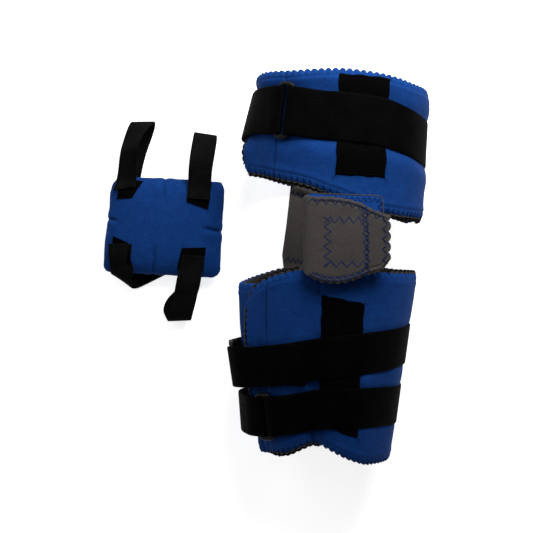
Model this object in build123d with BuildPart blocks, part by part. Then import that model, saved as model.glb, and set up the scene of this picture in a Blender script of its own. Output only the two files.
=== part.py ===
"""Two-cuff knee splint with a side hinge, a folded hinge cover and a separate strapped pad.

The splint lies on its inner side: +Y runs from the calf cuff to the thigh cuff, +Z points away from
the table and the origin is on the table, under the middle of everything. Lengths are in millimetres.
"""

import os
from math import atan2, cos, radians, sin, sqrt

from build123d import *

os.makedirs("parts", exist_ok=True)

# Driving dimensions
LAMINATE = 4.5  # blue-faced neoprene laminate of the cuffs
LINER = 2.5  # grey lining inside the laminate
SINK = 1.5  # how far a round cuff flattens on the table
GAP = 0.5  # clearance on each side of a fold line
WEBBING = 2.0  # strap thickness
LIFT = 0.4  # clearance between a strap and what it lies on
PATCH = 1.2  # loop patches
STRAP_LIFT = PATCH + LIFT
STRAP_OUT = STRAP_LIFT + WEBBING

# Cuff sections at two stations: (y, centre x, half width, height)
THIGH = ((50.0, 74.5, 86.0, 133.5), (180.0, 74.5, 88.0, 150.0))
CALF = ((2.0, 66.0, 89.5, 136.5), (-180.0, 65.0, 67.0, 106.0))
THIGH_TOP = 182.0
CALF_END = -182.0
SPLIT_Z = 78.0  # height of the free edges at the left side
THIGH_FOLD_X = 66.5  # where the thigh cuff's front folds open
CALF_FOLD_X = 53.0
TAIL_START_X = 2.0  # the calf strap's doubled end, stuck back over the front
TAIL_END_X = 42.0

# Strap rings
ROUND = 3.4  # thickness of a ring's bars
RING_WIDTH = 16.0
LOOP_REACH = (RING_WIDTH + 0.6 + WEBBING) / 2  # from a ring's middle to the outside of a strap's loop

PIVOT = (77.5, 34.0)  # knee axis, parallel to Z
BAR_WIDTH = 16.0
BAR = 2.0
PIVOT_Z = 131.6  # between the two bars
RIVET_RADIUS = 3.0
RIVET_HEAD = 5.5
THIGH_BAR_NEAR = 62.0  # where each bar lies in its cuff's wall
THIGH_BAR_END = 150.0
CALF_BAR_NEAR = -4.0
CALF_BAR_END = -140.0

BRIDGE = 3.4  # thickness of each half of the fabric bridge

COVER_Z = 137.6  # underside of the hinge cover
COVER_LAYER = 3.5
COVER_FOLD_X = 39.5
COVER_TOP = 69.5
FLAP_Z = COVER_Z + COVER_LAYER + 1.1
SEAM_X = 99.0  # sewn seam between the flap and its end

PAD_CENTRE = (-102.6, 48.5)
PAD_SIZE = (122.0, 102.0)
PAD_Z = (3.0, 33.0)
PAD_TILT = -3.0
PAD_STRAP = 25.0
PAD_ROUND = 13.0
PAD_SKIN = 2.0
TAB = 1.0  # hook tabs under the pad's straps
SHEET = 1.5  # webbing of the pad's straps

# Corner straps of the pad: name, place along x and y, direction in degrees, reach past the edge
CORNERS = (
    ("top_left", -42.0, 51.0, 102.0, 56.0),
    ("top_right", 42.5, 51.0, 96.0, 46.0),
    ("bottom_left", -45.5, -51.0, 274.0, 20.0),
    ("bottom_right", 33.0, -51.0, 260.0, 50.0),
)


def save(part, name):
    """Writes one finished piece."""
    part.label = name
    export_step(part, f"parts/{name}.step")


def section(cuff, y):
    """Centre x, half width and height of a cuff at y."""
    (y0, *first), (y1, *last) = cuff
    t = (y - y0) / (y1 - y0)
    return [a + t * (b - a) for a, b in zip(first, last)]


def cone(cuff, grow):
    """The solid inside a cuff's outer face, made larger all round by grow."""
    ends = sorted(station[0] for station in cuff)
    with BuildPart() as body:
        for y in (ends[0] - 20, ends[1] + 20):
            x, half, height = section(cuff, y)
            centre = Plane(origin=(x, y, (height - SINK) / 2), x_dir=(1, 0, 0), z_dir=(0, -1, 0))
            with BuildSketch(centre):
                Ellipse(half + grow, (height + SINK) / 2 + grow)
        loft()
    return body.part


def layer(cuff, outside, inside):
    """A tube wall between two offsets of a cuff's outer face."""
    with BuildPart() as wall:
        add(cone(cuff, outside))
        add(cone(cuff, inside), mode=Mode.SUBTRACT)
    return wall.part


def prism(points, low=-20.0, high=260.0):
    """A plan outline made solid from low to high."""
    with BuildPart() as block:
        with BuildSketch(Plane.XY.offset(low)):
            with BuildLine():
                Polyline(*points, close=True)
            make_face()
        extrude(amount=high - low)
    return block.part


def tunnel(points):
    """An outline in X and Z made solid along Y."""
    with BuildPart() as block:
        with BuildSketch(Plane(origin=(0, 260, 0), x_dir=(1, 0, 0), z_dir=(0, -1, 0))):
            with BuildLine():
                Polyline(*points, close=True)
            make_face()
        extrude(amount=520)
    return block.part


def keep(part, *shapes):
    """The part of a piece that lies inside every shape."""
    with BuildPart() as kept:
        add(part)
        for shape in shapes:
            add(shape, mode=Mode.INTERSECT)
    return kept.part


def drop(part, *shapes):
    """A piece with every shape taken out of it."""
    with BuildPart() as left:
        add(part)
        for shape in shapes:
            add(shape, mode=Mode.SUBTRACT)
    return left.part


def above_table(part):
    return keep(part, prism([(-260, -260), (260, -260), (260, 260), (-260, 260)], 0.0))


# Plan outlines of the cuffs: the thigh cuff's knee edge slants, the calf cuff's has one low corner.
def thigh_edge(x):
    return max(96.0 - 0.34 * (x + 6.5), 55.0)


thigh_plan = prism(
    [(-60, THIGH_TOP), (-60, thigh_edge(-60)), (114, thigh_edge(114)), (200, 55), (200, THIGH_TOP)]
)
calf_plan = prism([(-60, CALF_END), (-60, -28.8), (25.5, 2), (200, 2), (200, CALF_END)])


def front_zone(fold_x, gap):
    """Everything left of the fold line and above the free left edge."""
    x, z = fold_x - gap, SPLIT_Z + gap
    return tunnel([(-90, z), (x, z), (x, 260), (-90, 260)])


def band(middle, slope, width, pivot_x):
    """A slanted slab that cuts a strap's width out of a tube."""
    half = width / 2 * sqrt(1 + slope * slope)
    left, right = -90.0, 200.0
    rise = [middle + slope * (x - pivot_x) for x in (left, right)]
    return prism(
        [(left, rise[0] - half), (right, rise[1] - half), (right, rise[1] + half), (left, rise[0] + half)]
    )


def surface_point(cuff, x, y, grow):
    """Height and sideways lean of a cuff's upper outside face, moved out by grow."""
    centre, half, height = section(cuff, y)
    tall = (height + SINK) / 2
    angle = atan2(sqrt(1 - ((x - centre) / half) ** 2), (x - centre) / half)
    normal = (cos(angle) / half, sin(angle) / tall)
    size = sqrt(normal[0] ** 2 + normal[1] ** 2)
    lean = (normal[0] / size, normal[1] / size)
    place = (x + grow * lean[0], height - tall + tall * sin(angle) + grow * lean[1])
    return place, lean


# Uprights of the knee hinge, as bars that follow the upper wall of each cuff
def wall_height(cuff, y):
    return surface_point(cuff, PIVOT[0] + BAR_WIDTH / 2, y, -(LAMINATE + BAR + 0.25))[0][1]


def upright(cuff, far_y, pivot_low, near_y):
    """A flat bar from the knee pivot, stepped down into the cuff's wall, with a rounded far end."""
    run = [
        (PIVOT[1], pivot_low),
        (PIVOT[1] + (near_y - PIVOT[1]) * 0.55, pivot_low),
        (near_y, wall_height(cuff, near_y)),
        (far_y, wall_height(cuff, far_y)),
    ]
    outline = run + [(y, z + BAR) for y, z in reversed(run)]
    with BuildPart() as bar:
        side = Plane(origin=(PIVOT[0] - BAR_WIDTH / 2, 0, 0), x_dir=(0, 1, 0), z_dir=(1, 0, 0))
        with BuildSketch(side):
            with BuildLine():
                Polyline(*outline, close=True)
            make_face()
        extrude(amount=BAR_WIDTH)
        with BuildSketch(Plane.XY.offset(pivot_low)):
            with Locations(PIVOT):
                Circle(BAR_WIDTH * 0.75)
        extrude(amount=BAR)
        tips = bar.edges().filter_by(Axis.Z, tolerance=12).sort_by(SortBy.DISTANCE)
        ends = [edge for edge in tips if abs(edge.center().Y - far_y) < 1]
        fillet(ends, BAR_WIDTH * 0.4)
    return bar.part


def bar_slot(cuff, far_y, near_y):
    """The channel in a cuff's lining that the bar runs in."""
    step = (far_y - near_y) / abs(far_y - near_y)
    ends = [near_y - 30 * step, far_y + 3 * step]
    low = [(y, wall_height(cuff, y) - 4) for y in ends]
    high = [(y, wall_height(cuff, y) + BAR + 0.25) for y in reversed(ends)]
    with BuildPart() as slot:
        side = Plane(origin=(PIVOT[0] - BAR_WIDTH / 2 - 0.4, 0, 0), x_dir=(0, 1, 0), z_dir=(1, 0, 0))
        with BuildSketch(side):
            with BuildLine():
                Polyline(*low, *high, close=True)
            make_face()
        extrude(amount=BAR_WIDTH + 0.8)
    return slot.part


thigh_bar = upright(THIGH, THIGH_BAR_END, PIVOT_Z + 0.2, THIGH_BAR_NEAR)
calf_bar = upright(CALF, CALF_BAR_END, PIVOT_Z - 0.2 - BAR, CALF_BAR_NEAR)
save(drop(thigh_bar, Pos(*PIVOT, PIVOT_Z) * Cylinder(RIVET_RADIUS + 0.05, 20)), "thigh_upright")
save(drop(calf_bar, Pos(*PIVOT, PIVOT_Z) * Cylinder(RIVET_RADIUS + 0.05, 20)), "calf_upright")

with BuildPart() as rivet:
    with BuildSketch(Plane.XY.offset(PIVOT_Z - BAR - 1.7)):
        with Locations(PIVOT):
            Circle(RIVET_HEAD)
    extrude(amount=1.2)
    with BuildSketch(Plane.XY.offset(PIVOT_Z - BAR - 0.5)):
        with Locations(PIVOT):
            Circle(RIVET_RADIUS)
    extrude(amount=2 * BAR + 1.0)
    with BuildSketch(Plane.XY.offset(PIVOT_Z + BAR + 0.5)):
        with Locations(PIVOT):
            Circle(RIVET_HEAD)
    extrude(amount=1.2)
    fillet(rivet.faces().sort_by(Axis.Z)[-1].edges(), 0.6)
save(rivet.part, "knee_rivet")


# Cuff walls
def cuff_wall(cuff, plan, fold_x, outside, inside, slot=None):
    """The back of a cuff with its fixed front, and the front that folds open."""
    wall = above_table(keep(layer(cuff, outside, inside), plan))
    if slot:
        wall = drop(wall, slot)
    return drop(wall, front_zone(fold_x, -GAP)), keep(wall, front_zone(fold_x, GAP))


thigh_slot = bar_slot(THIGH, THIGH_BAR_END, THIGH_BAR_NEAR)
calf_slot = bar_slot(CALF, CALF_BAR_END, CALF_BAR_NEAR)
for name, cuff, plan, fold_x, slot in (
    ("thigh", THIGH, thigh_plan, THIGH_FOLD_X, thigh_slot),
    ("calf", CALF, calf_plan, CALF_FOLD_X, calf_slot),
):
    shell, front = cuff_wall(cuff, plan, fold_x, 0.0, -LAMINATE)
    save(shell, f"{name}_shell")
    save(front, f"{name}_front")
    shell, front = cuff_wall(cuff, plan, fold_x, -LAMINATE, -LAMINATE - LINER, slot)
    save(shell, f"{name}_shell_lining")
    save(front, f"{name}_front_lining")

# Loop patches along the uprights
thigh_patch_plan = prism([(68, 86), (111, 83), (113, 176), (68, 178)], 80.0)
calf_patch_plan = prism([(55, -158), (93, -162), (97, -27), (57, -20)], 60.0)
thigh_patch = keep(layer(THIGH, PATCH, 0.05), thigh_patch_plan)
calf_patch = keep(layer(CALF, PATCH, 0.05), calf_patch_plan)
save(thigh_patch, "thigh_patch")
save(calf_patch, "calf_patch")


# Straps: each has a fixed part on the right, a part on the opening front and an anchor on the left


def ring_frame(cuff, x, y, slope, grow):
    """A plane that lies on the cuff's outside at a ring, its local y along the ring."""
    (px, pz), (nx, nz) = surface_point(cuff, x, y, grow)
    across = Vector(nz, slope * nz, -nx).normalized()
    out = Vector(nx, 0, nz)
    return Plane(origin=(px, y, pz), x_dir=across, z_dir=(out - across * out.dot(across)).normalized())


def oval_ring(frame, length):
    with BuildPart() as oval:
        with BuildSketch(frame.offset(-ROUND / 2)):
            SlotOverall(length, RING_WIDTH, rotation=90)
            SlotOverall(length - 2 * ROUND, RING_WIDTH - 2 * ROUND, rotation=90, mode=Mode.SUBTRACT)
        extrude(amount=ROUND)
        flats = oval.faces().filter_by(lambda face: len(face.inner_wires()) > 0)
        chamfer(flats.edges(), 0.7)
    return oval.part


def bar_loop(frame, side, width):
    """The webbing that wraps one long bar of a ring, with the bar's clearance inside."""
    x = side * (RING_WIDTH - ROUND) / 2
    with BuildPart() as loop:
        with BuildSketch(frame.offset(-ROUND / 2 - 0.3 - WEBBING / 2)):
            with Locations((x, 0)):
                Rectangle(ROUND + 0.6 + WEBBING, width)
        extrude(amount=ROUND + 0.6 + WEBBING)
        with BuildSketch(frame.offset(-ROUND / 2 - 0.3)):
            with Locations((x, 0)):
                Rectangle(ROUND + 0.6, width + 1)
        extrude(amount=ROUND + 0.6, mode=Mode.SUBTRACT)
    return loop.part


def slab(frame, left, right):
    """Everything between two lines across a strap, measured along it from the ring."""
    with BuildPart() as block:
        with BuildSketch(frame.offset(-60)):
            with Locations(((left + right) / 2, 0)):
                Rectangle(right - left, 120)
        extrude(amount=120)
    return block.part


def block_xz(left, right, low, high):
    return tunnel([(left, low), (right, low), (right, high), (left, high)])


def strap_tube(cuff, strap_band, outside=0.0):
    """One turn of a strap round a cuff, wide enough to pass over the loop patch."""
    return above_table(keep(layer(cuff, STRAP_OUT + outside, STRAP_LIFT + outside), strap_band))


def ringed_strap(name, cuff, fold_x, middle, slope, width, ring_x, back_x, low_z):
    """A strap over the front of a cuff, its ring, and the anchor that sticks to the back on the left."""
    strap_band = band(middle, slope, width, fold_x)
    tube = strap_tube(cuff, strap_band)
    ring_y = middle + slope * (ring_x - fold_x)
    frame = ring_frame(cuff, ring_x, ring_y, slope, ROUND / 2 + WEBBING + 2.1)
    centre_z = section(cuff, ring_y)[2] / 2
    right = keep(drop(tube, block_xz(-90, fold_x + GAP, 0, 260)), block_xz(fold_x, 260, 30, 260))
    save(right, f"{name}_side")
    over = keep(tube, block_xz(-90, fold_x - GAP, centre_z, 260))
    left_end = LOOP_REACH - 0.2
    front = keep(over, slab(frame, left_end, 200))
    anchor_zone = block_xz(-90, back_x, low_z, 260)
    anchor = keep(tube, anchor_zone)
    anchor = drop(anchor, slab(frame, -left_end, 250), block_xz(frame.origin.X, 260, 0, 260))
    save(front + bar_loop(frame, 1, width - 9), f"{name}_front")
    save(anchor + bar_loop(frame, -1, width - 9), f"{name}_anchor")
    save(oval_ring(frame, width + 8), f"{name}_ring")


ringed_strap("thigh_strap", THIGH, THIGH_FOLD_X, 140.5, -0.17, 42.0, 20.5, 40.0, 36.0)
ringed_strap("ankle_strap", CALF, CALF_FOLD_X, -130.0, 0.09, 38.0, 9.0, 30.0, 30.0)
ringed_strap("calf_strap", CALF, CALF_FOLD_X, -80.0, 0.126, 39.0, -9.0, 0.0, 30.0)

# The calf strap's doubled end
calf_band = band(-80.0, 0.126, 38.0, CALF_FOLD_X)
tail_tube = strap_tube(CALF, calf_band, WEBBING + LIFT)
save(keep(tail_tube, block_xz(TAIL_START_X, TAIL_END_X, 60, 260)), "calf_strap_tail")

# Fabric bridge at the back of the knee, in two lapped halves that turn about the knee axis
calf_half = [(25, 2.2), (130, 2.2), (131, 22), (106, 47), (50, 58), (27, 42)]
thigh_half = [(30, 83.2), (113, 55), (132, 54.8), (128, 46), (101, 18), (56, 12), (28, 32)]
save(prism(calf_half, 0.0, BRIDGE), "bridge_calf_half")
save(prism(thigh_half, BRIDGE + 0.5, 2 * BRIDGE + 0.5), "bridge_thigh_half")

# Hinge cover: a base over the knee hinge and a flap folded over it from its left edge
base_plan = [(COVER_FOLD_X, 3.2), (58, 3.2), (58, -8), (107, -5), (107, 65), (101, 68), (41, COVER_TOP)]
save(prism(base_plan, COVER_Z, COVER_Z + COVER_LAYER - 0.3), "cover_base")
flap_left = COVER_FOLD_X + 0.5
flap_plan = [(flap_left, 3.2), (SEAM_X, 3.2), (SEAM_X, 59), (83, 64), (68, 67), (flap_left, 69)]
save(prism(flap_plan, FLAP_Z, FLAP_Z + COVER_LAYER), "cover_flap")
end_plan = [(SEAM_X, 3.2), (109, 5), (113, 20), (115.5, 38), (115, 52), (SEAM_X, 59)]
save(prism(end_plan, FLAP_Z, FLAP_Z + COVER_LAYER), "cover_flap_end")
hook_plan = [(58, 7), (97, 7), (97, 51), (58, 51)]
save(prism(hook_plan, FLAP_Z - 1.0, FLAP_Z), "cover_hook_patch")

# Pad: a filled cushion with a patch, a hook tab and a strap loop at each corner
pad_plane = Plane(
    origin=(*PAD_CENTRE, 0), x_dir=(cos(radians(PAD_TILT)), sin(radians(PAD_TILT)), 0), z_dir=(0, 0, 1)
)


def cushion(grow):
    """The pad's rounded shape, made larger all round by grow."""
    low, high = PAD_Z[0] - grow, PAD_Z[1] + grow
    with BuildPart() as body:
        with BuildSketch(pad_plane.offset(low)):
            RectangleRounded(PAD_SIZE[0] + 2 * grow, PAD_SIZE[1] + 2 * grow, 18 + grow)
        extrude(amount=high - low)
        fillet(body.faces().sort_by(Axis.Z)[-1].edges(), PAD_ROUND + grow)
        fillet(body.faces().sort_by(Axis.Z)[0].edges(), 7 + grow)
    return body.part


save(drop(cushion(0), cushion(-PAD_SKIN)), "pad_cover")
save(cushion(-PAD_SKIN), "pad_filling")


def strip(plane, start, end, width, low, high):
    """A rectangle along a corner strap, made solid from low to high."""
    with BuildPart() as block:
        with BuildSketch(plane.offset(low)):
            with Locations(((start + end) / 2, 0)):
                Rectangle(end - start, width)
        extrude(amount=high - low)
    return block.part


def strap_loop(plane, reach):
    """Webbing that leaves the pad's top, folds at its far end and comes back under the pad."""
    top = PAD_Z[1] + PATCH + TAB + 0.8 + SHEET / 2
    nose = min(9.0, reach * 0.4)
    side = Plane(origin=plane.origin, x_dir=plane.x_dir, z_dir=-plane.y_dir)
    path = [
        (-30, top),
        (-9, top),
        (reach * 0.62, top * 0.72),
        (reach, top * 0.45),
        (reach - nose, SHEET / 2),
        (-16, SHEET / 2),
    ]
    with BuildPart() as loop:
        with BuildSketch(side.offset(-PAD_STRAP / 2)):
            with BuildLine():
                FilletPolyline(*path, radius=nose * 0.45)
            trace(line_width=SHEET)
        extrude(amount=PAD_STRAP)
    return loop.part


patch_skin = drop(cushion(PATCH), cushion(0.05))
tab_skin = drop(cushion(PATCH + TAB), cushion(PATCH + 0.1))
for name, along, edge, heading, reach in CORNERS:
    start = pad_plane.from_local_coords(Vector(along, edge, 0))
    turn = radians(heading)
    plane = Plane(origin=start, x_dir=(cos(turn), sin(turn), 0), z_dir=(0, 0, 1))
    save(keep(patch_skin, strip(plane, -26, -2, PAD_STRAP, 22, 60)), f"pad_patch_{name}")
    save(keep(tab_skin, strip(plane, -22, -6, PAD_STRAP - 1, 26, 60)), f"pad_tab_{name}")
    save(strap_loop(plane, reach), f"pad_strap_{name}")
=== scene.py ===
"""Looks of the two-cuff knee splint and its strapped pad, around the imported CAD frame. Metres, +Z up."""

import functools
import math

import bmesh
import bpy
import numpy as np
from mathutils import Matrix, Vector
from mathutils.bvhtree import BVHTree


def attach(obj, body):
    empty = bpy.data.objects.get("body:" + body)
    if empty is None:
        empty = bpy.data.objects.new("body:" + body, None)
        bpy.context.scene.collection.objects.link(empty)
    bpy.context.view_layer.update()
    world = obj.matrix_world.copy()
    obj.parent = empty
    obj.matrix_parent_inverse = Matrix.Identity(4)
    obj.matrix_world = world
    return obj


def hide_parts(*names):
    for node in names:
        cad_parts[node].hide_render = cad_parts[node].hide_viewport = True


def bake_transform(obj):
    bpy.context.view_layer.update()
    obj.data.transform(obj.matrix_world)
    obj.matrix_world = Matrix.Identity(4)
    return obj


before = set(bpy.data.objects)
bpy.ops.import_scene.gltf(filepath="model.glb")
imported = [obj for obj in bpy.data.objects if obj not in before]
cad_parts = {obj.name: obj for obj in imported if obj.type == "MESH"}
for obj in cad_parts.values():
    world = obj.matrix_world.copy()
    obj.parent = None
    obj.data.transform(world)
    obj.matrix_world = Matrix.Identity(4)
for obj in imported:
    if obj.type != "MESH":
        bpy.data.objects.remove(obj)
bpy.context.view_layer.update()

MM = 0.001
SINK = 1.5 * MM  # how far a cuff's section reaches below the table, where it lies flat
WALL = 6.0 * MM  # laminate with its lining
BACK_WALL = 5.5 * MM
WEB = 1.9 * MM  # webbing
CAMERA_HEIGHT = 0.8
CAMERA_OVER = (0.0055, 0.006)
LENS = 49.4

# Cuff sections at two stations, as in the CAD: y, centre x, half width, height
THIGH = ((0.050, 0.0745, 0.0865, 0.1335), (0.180, 0.0755, 0.0895, 0.150))
CALF = ((0.002, 0.0655, 0.0905, 0.1365), (-0.180, 0.065, 0.067, 0.106))
THIGH_FOLD_X = 0.0665
CALF_FOLD_X = 0.053
FOLD_HALF = 7 * MM  # half the band about a front's fold


# ---------------------------------------------------------------- materials
class Look:
    """A material in the making: its textures share one coordinate."""

    def __init__(self, name, place="weave"):
        self.material = bpy.data.materials.new(name)
        self.material.use_nodes = True
        self.nodes = self.material.node_tree.nodes
        self.shader = self.nodes["Principled BSDF"]
        if place == "weave":  # sewn into the mesh: metres along and across the cloth
            self.place = self.add("Attribute", attribute_name="weave").outputs["Vector"]
        elif place:
            self.place = self.add("TexCoord").outputs[place]

    def add(self, kind, **values):
        """A shader node with its sockets and settings filled in."""
        made = self.nodes.new("ShaderNode" + kind)
        for key, value in values.items():
            if key in made.inputs:
                made.inputs[key].default_value = value
            else:
                setattr(made, key, value)
        return made

    def link(self, socket, node, name):
        self.material.node_tree.links.new(socket, node.inputs[name])

    def texture(self, kind, place=None, **values):
        made = self.add("Tex" + kind, **values)
        self.link(place or self.place, made, "Vector")
        return made.outputs["Distance" if kind == "Voronoi" else "Fac"]

    def stretched(self, *scale):
        made = self.add("Mapping", Scale=scale)
        self.link(self.place, made, "Vector")
        return made.outputs["Vector"]

    def maths(self, operation, *values):
        """A maths node; each value is a number or a socket."""
        made = self.add("Math", operation=operation)
        for index, value in enumerate(values):
            if isinstance(value, float):
                made.inputs[index].default_value = value
            else:
                self.link(value, made, index)
        return made.outputs[0]

    def ramp(self, socket, target, low, high, low_at=0.0, high_at=1.0):
        """Turns a texture into a shader's input, between two colours."""
        made = self.add("ValToRGB")
        for element, colour, at in zip(made.color_ramp.elements, (low, high), (low_at, high_at)):
            element.position = at
            element.color = (*colour, 1)
        self.link(socket, made, "Fac")
        self.link(made.outputs["Color"], self.shader, target)

    def rough(self, socket, low, high):
        self.ramp(socket, "Roughness", (low,) * 3, (high,) * 3)

    def bumps(self, *heights):
        """Chained bumps: height socket, strength, distance in millimetres."""
        normal = None
        for socket, strength, distance in heights:
            bump = self.add("Bump", Strength=strength, Distance=distance * MM)
            self.link(socket, bump, "Height")
            if normal:
                self.link(normal, bump, "Normal")
            normal = bump.outputs["Normal"]
        self.link(normal, self.shader, "Normal")

    def done(self, **values):
        """The material, with the shader's own sockets filled in; _ is a space in a socket's name."""
        for name, value in values.items():
            self.shader.inputs[name.replace("_", " ")].default_value = value
        return self.material


BLUE_SHEEN = (0.3, 0.45, 0.9)
GREY_SHEEN = (0.8, 0.78, 0.75)
BROWN_SHEEN = (0.6, 0.5, 0.5)
BLACK_SHEEN = (0.3, 0.3, 0.3)


def napped(name, dark, light, nap, sheen, tint=BLUE_SHEEN):
    """Brushed loop fabric: fine fibres, soft mottling and a faint sheen."""
    look = Look(name)
    mottle = look.texture("Noise", Scale=95.0, Detail=6.0, Roughness=0.65)
    fibre = look.texture("Noise", look.stretched(1.0, 0.35, 1.0), Scale=1050.0, Detail=5.0, Roughness=0.75)
    cells = look.texture("Voronoi", Scale=720.0)
    both = look.maths("MULTIPLY_ADD", fibre, 0.7, look.maths("MULTIPLY", mottle, 0.3))
    look.ramp(both, "Base Color", dark, light, 0.3, 0.7)
    look.rough(fibre, 0.8, 0.97)
    look.bumps((mottle, 0.35 * nap, 0.9), (cells, 0.4 * nap, 0.35), (fibre, 0.8 * nap, 0.35))
    return look.done(Sheen_Weight=sheen, Sheen_Roughness=0.45, Sheen_Tint=(*tint, 1), Specular_IOR_Level=0.06)


def webbing(name, dark, light):
    """Woven tape: ribs across, yarns along, with slightly shiny yarn tops."""
    look = Look(name)
    split = look.add("SeparateXYZ")
    look.link(look.place, split, "Vector")
    yarns, ribs = [
        look.maths("SINE", look.maths("MULTIPLY_ADD", split.outputs[axis], 2 * math.pi / pitch, shift))
        for axis, pitch, shift in (("X", 1.1 * MM, 0.0), ("Y", 1.7 * MM, 1.57))
    ]
    cross = look.maths("MULTIPLY", yarns, ribs)
    fuzz = look.texture("Noise", Scale=900.0, Detail=4.0, Roughness=0.7)
    dust = look.texture("Noise", Scale=60.0, Detail=5.0, Roughness=0.6)
    look.ramp(look.maths("MULTIPLY_ADD", cross, 0.25, dust), "Base Color", dark, light, 0.25, 0.85)
    look.rough(fuzz, 0.62, 0.9)
    look.bumps((cross, 0.35, 0.22), (ribs, 0.2, 0.2), (fuzz, 0.4, 0.25))
    return look.done(Specular_IOR_Level=0.02)


def looped(name, dark, light):
    """Loop pile: rough clumps of small loops."""
    look = Look(name)
    clump = look.texture("Noise", Scale=420.0, Detail=5.0, Roughness=0.75)
    loops = look.texture("Voronoi", Scale=1000.0, feature="SMOOTH_F1")
    row = look.texture("Wave", Scale=210.0, Distortion=3.0, Detail=2.0)
    look.ramp(clump, "Base Color", dark, light, 0.35, 0.8)
    look.rough(clump, 0.75, 1.0)
    look.bumps((clump, 0.9, 0.9), (loops, 0.7, 0.5), (row, 0.15, 0.3))
    return look.done(Specular_IOR_Level=0.02)


def moulded(name, colour, roughness):
    """Moulded plastic with a faint spark texture and worn spots."""
    look = Look(name, "Object")
    grain = look.texture("Noise", Scale=2500.0, Detail=3.0)
    wear = look.texture("Noise", Scale=180.0, Detail=5.0)
    look.ramp(wear, "Base Color", colour, [c * 1.7 + 0.002 for c in colour], 0.4, 0.75)
    look.rough(wear, roughness * 0.8, min(1.0, roughness * 1.3))
    look.bumps((grain, 0.15, 0.1))
    return look.done(Specular_IOR_Level=0.18)


def brushed(name, colour):
    """Steel brushed along Y."""
    look = Look(name, "Object")
    lines = look.texture("Noise", look.stretched(900.0, 25.0, 900.0), Scale=1.0, Detail=4.0)
    look.ramp(lines, "Base Color", [c * 0.75 for c in colour], colour, 0.3, 0.7)
    look.rough(lines, 0.25, 0.45)
    look.bumps((lines, 0.1, 0.05))
    return look.done(Metallic=1.0)


BLUE = napped("blue_loop_fabric", (0.0018, 0.019, 0.108), (0.0075, 0.056, 0.245), 0.5, 0.05)
GREY = napped("grey_lining", (0.030, 0.027, 0.026), (0.060, 0.054, 0.052), 0.5, 0.05, GREY_SHEEN)
# The bridge's lining is the same grey cloth as GREY. It is painted lighter here as painted light for the
# shaded sleeve between the cuffs.
BRIDGE_GREY_PAINTED_LIGHT = napped(
    "bridge_grey_painted_light", (0.0608, 0.05396, 0.05168), (0.1102, 0.0988, 0.095), 0.5, 0.05, GREY_SHEEN
)
BLACK_WEB = webbing("black_webbing", (0.0004, 0.0004, 0.0005), (0.0022, 0.0022, 0.0024))
PAD_BLACK = webbing("charcoal_webbing", (0.0024, 0.0026, 0.0026), (0.0068, 0.007, 0.007))
LOOP_PILE = looped("black_loop_pile", (0.0004, 0.0004, 0.0005), (0.003, 0.003, 0.0032))
THREAD_BLUE = napped("blue_thread", (0.0015, 0.010, 0.055), (0.004, 0.028, 0.125), 0.8, 0.05)
THREAD_BLACK = napped("black_thread", (0.0004,) * 3, (0.0026, 0.0026, 0.0028), 0.8, 0.03, BLACK_SHEEN)
THREAD_BROWN = napped(
    "brown_grey_edging", (0.03, 0.026, 0.023), (0.085, 0.076, 0.068), 0.8, 0.05, BROWN_SHEEN
)
SEAM_BLACK = napped("black_seam", (0.0003,) * 3, (0.001,) * 3, 0.8, 0.0)
RIM_BLACK = napped("black_brown_rim", (0.002, 0.0018, 0.0016), (0.009, 0.008, 0.007), 0.8, 0.03, BROWN_SHEEN)
PLASTIC = moulded("black_ring_plastic", (0.001, 0.001, 0.0011), 0.5)
HOOKS = moulded("black_hook_tape", (0.003, 0.003, 0.0032), 0.7)
STEEL = brushed("brushed_steel", (0.6, 0.6, 0.61))


# ---------------------------------------------------------------- mesh tools
def unit(vectors):
    """A row of vectors, each made 1 long."""
    return vectors / np.maximum(np.linalg.norm(vectors, axis=1), 1e-12)[:, None]


def xyz(*parts):
    """Coordinates that broadcast together, stacked as points."""
    return np.stack(np.broadcast_arrays(*parts), -1)


def bell(value, width):
    return np.exp(-(value / width) ** 2)


def least(*values):
    return functools.reduce(np.minimum, values)


def smooth_step(value, low, high):
    t = np.clip((value - low) / (high - low), 0, 1)
    return t * t * (3 - 2 * t)


def turned_step(angle, low, high):
    """A smooth step over an angle in radians, with its ends in degrees."""
    return smooth_step(angle, math.radians(low), math.radians(high))


def smoothed(values, width):
    """A row of values averaged over a window, with its ends held."""
    kernel = np.hanning(width)
    return np.convolve(np.pad(values, width // 2, mode="edge"), kernel / kernel.sum(), "valid")


def fit(piece, body, slot, *nodes, fill=None):
    """Attaches a piece to its body, or for a blend only bakes its place, and hides the CAD nodes it stands
    for.

    body is a name, or for a blend two names with a start and an end; fill is not used.
    """
    if isinstance(body, str):
        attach(piece, body)
    else:
        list(body)
        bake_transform(piece)
    if nodes:
        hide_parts(*nodes)


def build(name, points, faces, places, face_materials, materials):
    """A closed smooth mesh object with cloth coordinates and one material index for each face."""
    mesh = bpy.data.meshes.new(name)
    mesh.from_pydata(points.tolist(), [], faces)
    for material in materials:
        mesh.materials.append(material)
    mesh.polygons.foreach_set("material_index", face_materials)
    mesh.polygons.foreach_set("use_smooth", [True] * len(faces))
    attribute = mesh.attributes.new("weave", "FLOAT_VECTOR", "POINT")
    attribute.data.foreach_set("vector", np.asarray(places, np.float32).ravel())
    mesh.validate()
    mesh.update()
    made = bpy.data.objects.new(name, mesh)
    bpy.context.scene.collection.objects.link(made)
    work = bmesh.new()
    work.from_mesh(mesh)
    bmesh.ops.recalc_face_normals(work, faces=work.faces)
    work.to_mesh(mesh)
    work.free()
    return made


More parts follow.
